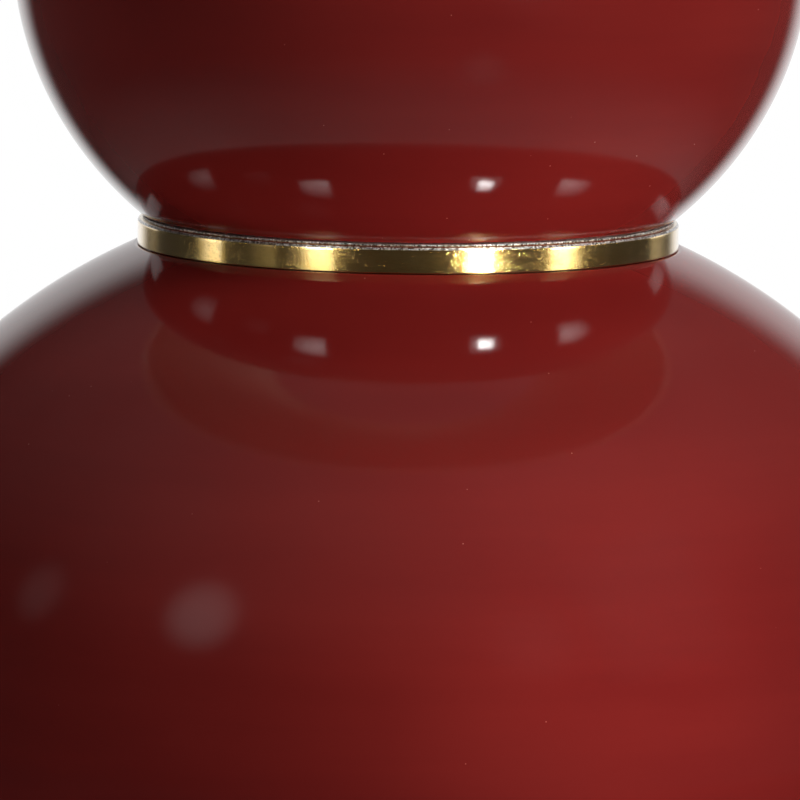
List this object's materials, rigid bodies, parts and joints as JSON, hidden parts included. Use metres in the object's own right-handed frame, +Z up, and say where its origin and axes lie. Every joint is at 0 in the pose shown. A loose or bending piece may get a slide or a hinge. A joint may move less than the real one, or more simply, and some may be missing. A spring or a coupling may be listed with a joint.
{
  "type": "double gourd table lamp",
  "caption": "Table lamp: two glossy oxblood ceramic gourds, a small one on a large one, with a flat brass ring at the waist, a brass plinth and a tapered linen drum shade.",
  "frame": {"origin": "on the lamp's axis, at the underside of the felt pad", "axes": "+Z up the lamp's axis; -Y to the front, where the switch knob points; +X to the right, along the harp's plane"},
  "size_m": [0.4067, 0.4068, 0.7476],
  "materials": {
    "felt": "dense wool felt",
    "antique_brass": "aged, lacquered, satin",
    "harp_brass": "plated, satin",
    "socket_brass": "drawn sheet, polished",
    "red_glaze": "deep oxblood glaze, high gloss",
    "cast_iron": "rough",
    "zinc": "zinc plated, dull",
    "gasket_rubber": "matt",
    "black_plastic": "moulded",
    "steel": "plain",
    "screw_brass": "plain",
    "liner_fibre": "pressed fibre",
    "bulb_cap_metal": "rolled, bright",
    "bulb_white": "moulded, satin",
    "bulb_glass": "frosted inside",
    "frame_wire": "enamelled wire",
    "shade_lining": "stiff lining, matt",
    "shade_fabric": "natural linen",
    "shade_tape": "folded linen tape"
  },
  "bodies": {
    "lamp_body": {"felt_pad": "felt", "base_plinth": "antique_brass", "base_weight": "cast_iron", "bottom_washer": "zinc", "bottom_locknut": "zinc", "inlet_bush": "black_plastic", "threaded_pipe": "zinc", "foot_gasket": "gasket_rubber", "lower_gourd": "red_glaze", "lower_waist_gasket": "gasket_rubber", "waist_ring": "antique_brass", "waist_disc": "zinc", "ring_washer": "zinc", "upper_waist_gasket": "gasket_rubber", "upper_gourd": "red_glaze", "cap_gasket": "gasket_rubber", "gourd_cap": "antique_brass", "neck_tube": "antique_brass", "check_ring": "antique_brass", "harp_saddle": "harp_brass", "socket_cap": "socket_brass", "socket_set_screw": "zinc", "socket_shell": "socket_brass", "socket_liner": "liner_fibre", "switch_housing": "black_plastic", "terminal_screws": "screw_brass", "screw_shell": "screw_brass", "centre_contact": "screw_brass", "stem_collar": "socket_brass"},
    "switch_key": {"switch_stem": "steel", "switch_knob": "black_plastic"},
    "bulb": {"bulb_tip": "bulb_cap_metal", "bulb_insulator": "black_plastic", "bulb_screw_cap": "bulb_cap_metal", "bulb_collar": "bulb_white", "bulb_globe": "bulb_glass"},
    "harp": {"harp": "harp_brass"},
    "ferrule_left": {"harp_ferrule_left": "harp_brass"},
    "ferrule_right": {"harp_ferrule_right": "harp_brass"},
    "swivel": {"swivel_stud": "harp_brass"},
    "shade": {"shade_spider": "frame_wire", "shade_bottom_ring": "frame_wire", "shade_liner": "shade_lining", "shade_linen": "shade_fabric", "shade_trim_top": "shade_tape", "shade_trim_bottom": "shade_tape"},
    "finial": {"finial": "antique_brass"}
  },
  "joints": [
    {"name": "switch_turn", "type": "hinge", "parent": "lamp_body", "child": "switch_key", "pos_m": [0, -0.0208, 0.49857], "axis": [0, -1, 0], "continuous": true},
    {"name": "bulb_unscrew", "type": "hinge", "parent": "lamp_body", "child": "bulb", "pos_m": [0, 0, 0.50767], "axis": [0, 0, 1], "range_deg": [0, 1800]},
    {"name": "harp_lift", "type": "slide", "parent": "lamp_body", "child": "harp", "axis": [0, 0, 1], "range_m": [0, 0.24]},
    {"name": "ferrule_left_lift", "type": "slide", "parent": "harp", "child": "ferrule_left", "axis": [0, 0, 1], "range_m": [0, 0.014]},
    {"name": "ferrule_right_lift", "type": "slide", "parent": "harp", "child": "ferrule_right", "axis": [0, 0, 1], "range_m": [0, 0.014]},
    {"name": "shade_swivel", "type": "hinge", "parent": "harp", "child": "swivel", "pos_m": [0, 0, 0.71427], "axis": [0, 0, 1], "continuous": true},
    {"name": "shade_lift", "type": "slide", "parent": "swivel", "child": "shade", "axis": [0, 0, 1], "range_m": [0, 0.26]},
    {"name": "finial_unscrew", "type": "hinge", "parent": "shade", "child": "finial", "pos_m": [0, 0, 0.71817], "axis": [0, 0, 1], "range_deg": [0, 4320]}
  ]
}
